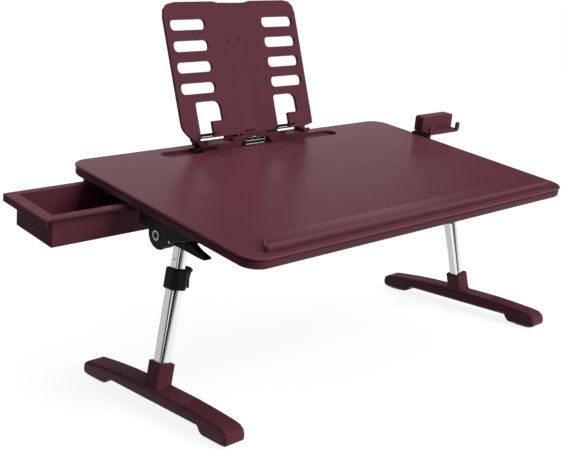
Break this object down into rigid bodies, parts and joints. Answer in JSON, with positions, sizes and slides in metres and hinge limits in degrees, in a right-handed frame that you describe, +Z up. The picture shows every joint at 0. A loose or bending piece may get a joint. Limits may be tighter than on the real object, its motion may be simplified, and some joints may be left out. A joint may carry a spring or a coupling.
{
  "type": "folding lap desk",
  "caption": "Folding lap desk with a tilting top, book stand with page clips, side drawer, phone rest and telescoping legs on long feet.",
  "frame": {"origin": "middle of the footprint box of the whole desk, on the ground", "axes": "+X to the right of the person using it, +Y away from them, +Z up"},
  "size_m": [0.7878, 0.406, 0.4862],
  "materials": {
    "burgundy_leather_skin": "burgundy imitation leather, satin, fine grain",
    "burgundy_plastic": "burgundy moulded plastic, satin",
    "black_board": "fibreboard painted black, satin",
    "black_plastic": "black moulded plastic, satin",
    "polished_tube": "polished aluminium",
    "bright_steel": "zinc plated steel, bright",
    "dark_steel": "blackened steel",
    "black_rubber": "black moulded rubber, matt"
  },
  "bodies": {
    "top": {"top_skin": "burgundy_leather_skin", "top_board": "black_board", "wrist_ridge": "burgundy_leather_skin", "drawer_rail_front": "black_plastic", "drawer_rail_rear": "black_plastic", "drawer_stop": "black_plastic", "stand_base": "burgundy_plastic", "stand_pawl": "black_plastic", "phone_rest": "burgundy_plastic", "phone_clamp": "black_plastic", "fold_base_left": "black_plastic", "fold_pin_front_left": "dark_steel", "fold_pin_rear_left": "dark_steel", "fold_base_right": "black_plastic", "fold_pin_front_right": "dark_steel", "fold_pin_rear_right": "dark_steel"},
    "drawer": {"drawer_tray": "burgundy_plastic"},
    "stand": {"stand_panel": "burgundy_plastic", "stand_pin_mid": "dark_steel", "stand_pin_left": "dark_steel", "stand_pin_right": "dark_steel", "clip_pin_left": "black_plastic", "clip_pin_right": "black_plastic"},
    "clip_left": {"page_clip_left": "burgundy_plastic"},
    "clip_right": {"page_clip_right": "burgundy_plastic"},
    "phone_screw": {"phone_clamp_screw": "black_plastic"},
    "bracket_left": {"side_bracket_left": "black_plastic", "tilt_ring_left": "bright_steel", "tilt_bolt_left": "dark_steel", "lever_pin_left": "bright_steel"},
    "lever_left": {"release_lever_left": "black_plastic"},
    "leg_upper_left": {"leg_head_left": "black_plastic", "inner_tube_left": "polished_tube"},
    "leg_lower_left": {"outer_tube_left": "polished_tube", "collar_left": "black_plastic", "cam_pin_left": "dark_steel", "foot_left": "burgundy_plastic", "foot_pad_front_left": "black_rubber", "foot_pad_rear_left": "black_rubber"},
    "cam_left": {"cam_lever_left": "black_plastic"},
    "bracket_right": {"side_bracket_right": "black_plastic", "tilt_ring_right": "bright_steel", "tilt_bolt_right": "dark_steel", "lever_pin_right": "bright_steel"},
    "lever_right": {"release_lever_right": "black_plastic"},
    "leg_upper_right": {"leg_head_right": "black_plastic", "inner_tube_right": "polished_tube"},
    "leg_lower_right": {"outer_tube_right": "polished_tube", "collar_right": "black_plastic", "cam_pin_right": "dark_steel", "foot_right": "burgundy_plastic", "foot_pad_front_right": "black_rubber", "foot_pad_rear_right": "black_rubber"},
    "cam_right": {"cam_lever_right": "black_plastic"}
  },
  "joints": [
    {"name": "drawer_slide", "type": "slide", "parent": "top", "child": "drawer", "axis": [-1, 0, 0], "range_m": [-0.112, 0.03]},
    {"name": "stand_tilt", "type": "hinge", "parent": "top", "child": "stand", "pos_m": [0.0181, 0.15134, 0.29339], "axis": [1, 0, 0], "range_deg": [-25, 35]},
    {"name": "page_clip_left_fold", "type": "hinge", "parent": "stand", "child": "clip_left", "pos_m": [-0.0649, 0.15184, 0.29945], "axis": [-1, 0, 0], "range_deg": [0, 93.5]},
    {"name": "page_clip_right_fold", "type": "hinge", "parent": "stand", "child": "clip_right", "pos_m": [0.0831, 0.15184, 0.29945], "axis": [-1, 0, 0], "range_deg": [0, 93.5]},
    {"name": "phone_screw_turn", "type": "hinge", "parent": "top", "child": "phone_screw", "pos_m": [0.2981, 0.07702, 0.24973], "axis": [0, -0.1564, 0.9877], "range_deg": [-180, 180]},
    {"name": "fold_left", "type": "hinge", "parent": "top", "child": "bracket_left", "pos_m": [-0.2359, -0.02347, 0.22258], "axis": [0, -0.9877, -0.1564], "range_deg": [0, 93]},
    {"name": "tilt_left", "type": "hinge", "parent": "bracket_left", "child": "leg_upper_left", "pos_m": [-0.2749, -0.01727, 0.2186], "axis": [1, 0, 0], "range_deg": [-21, 9]},
    {"name": "release_left", "type": "hinge", "parent": "bracket_left", "child": "lever_left", "pos_m": [-0.2679, -0.04364, 0.21503], "axis": [-1, 0, 0], "range_deg": [0, 10], "stiffness_Nm_per_rad": 0.3, "springref_deg": -5.73},
    {"name": "extend_left", "type": "slide", "parent": "leg_upper_left", "child": "leg_lower_left", "axis": [0.2306, 0, 0.973], "range_m": [-0.07, 0.02]},
    {"name": "cam_turn_left", "type": "hinge", "parent": "leg_lower_left", "child": "cam_left", "pos_m": [-0.23021, -0.01727, 0.16778], "axis": [0, 1, 0], "range_deg": [-80, 0]},
    {"name": "fold_right", "type": "hinge", "parent": "top", "child": "bracket_right", "pos_m": [0.2721, -0.02347, 0.22258], "axis": [0, 0.9877, 0.1564], "range_deg": [0, 93]},
    {"name": "tilt_right", "type": "hinge", "parent": "bracket_right", "child": "leg_upper_right", "pos_m": [0.3111, -0.01727, 0.2186], "axis": [1, 0, 0], "range_deg": [-21, 9]},
    {"name": "release_right", "type": "hinge", "parent": "bracket_right", "child": "lever_right", "pos_m": [0.3041, -0.04364, 0.21503], "axis": [-1, 0, 0], "range_deg": [0, 10], "stiffness_Nm_per_rad": 0.3, "springref_deg": -5.73},
    {"name": "extend_right", "type": "slide", "parent": "leg_upper_right", "child": "leg_lower_right", "axis": [-0.2306, 0, 0.973], "range_m": [-0.07, 0.02]},
    {"name": "cam_turn_right", "type": "hinge", "parent": "leg_lower_right", "child": "cam_right", "pos_m": [0.26641, -0.01727, 0.16778], "axis": [0, -1, 0], "range_deg": [-80, 0]}
  ],
  "couplings": [
    {"joint": "tilt_right", "follows": "tilt_left", "ratio": 1}
  ]
}
